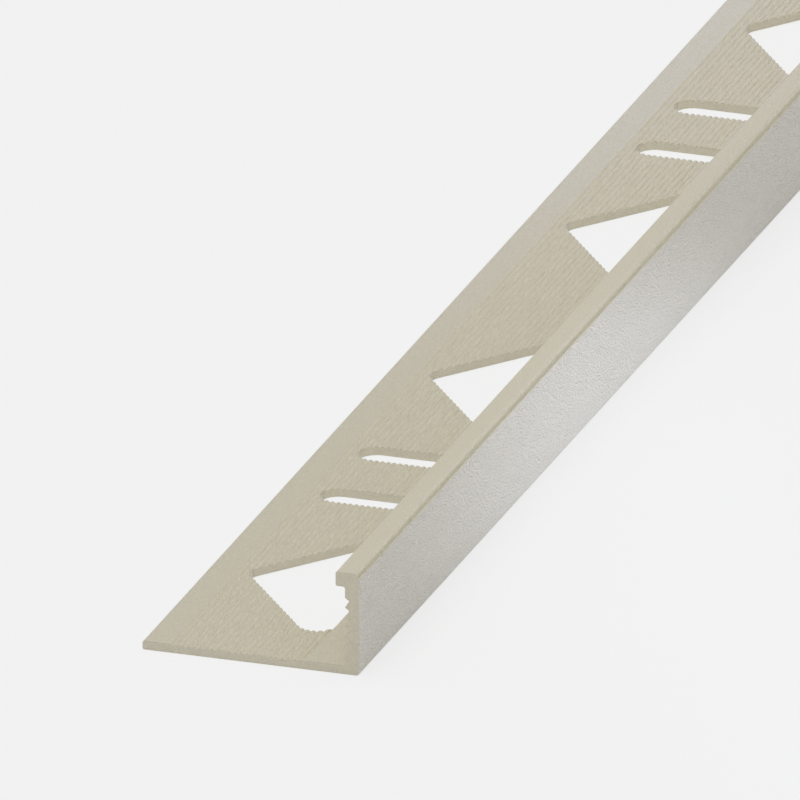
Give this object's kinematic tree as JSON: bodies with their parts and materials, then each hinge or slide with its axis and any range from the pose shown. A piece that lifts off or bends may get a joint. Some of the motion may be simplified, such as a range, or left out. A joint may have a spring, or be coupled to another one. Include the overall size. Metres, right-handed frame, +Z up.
{
  "type": "aluminium edging angle profile",
  "caption": "Extruded L-shaped edging bar with a lipped wall, saw teeth inside the wall and a punched anchor leg with triangular holes and slots.",
  "frame": {"origin": "under the middle of the bar, on the underside of the leg, halfway across the leg and halfway along the length", "axes": "+X across the leg towards the outer face of the wall, +Y along the length, +Z up from the leg to the lip"},
  "size_m": [0.023, 1, 0.011],
  "materials": {
    "anodised_aluminium": "matt champagne anodised"
  },
  "bodies": {
    "root": {"angle_profile": "anodised_aluminium"}
  },
  "joints": []
}
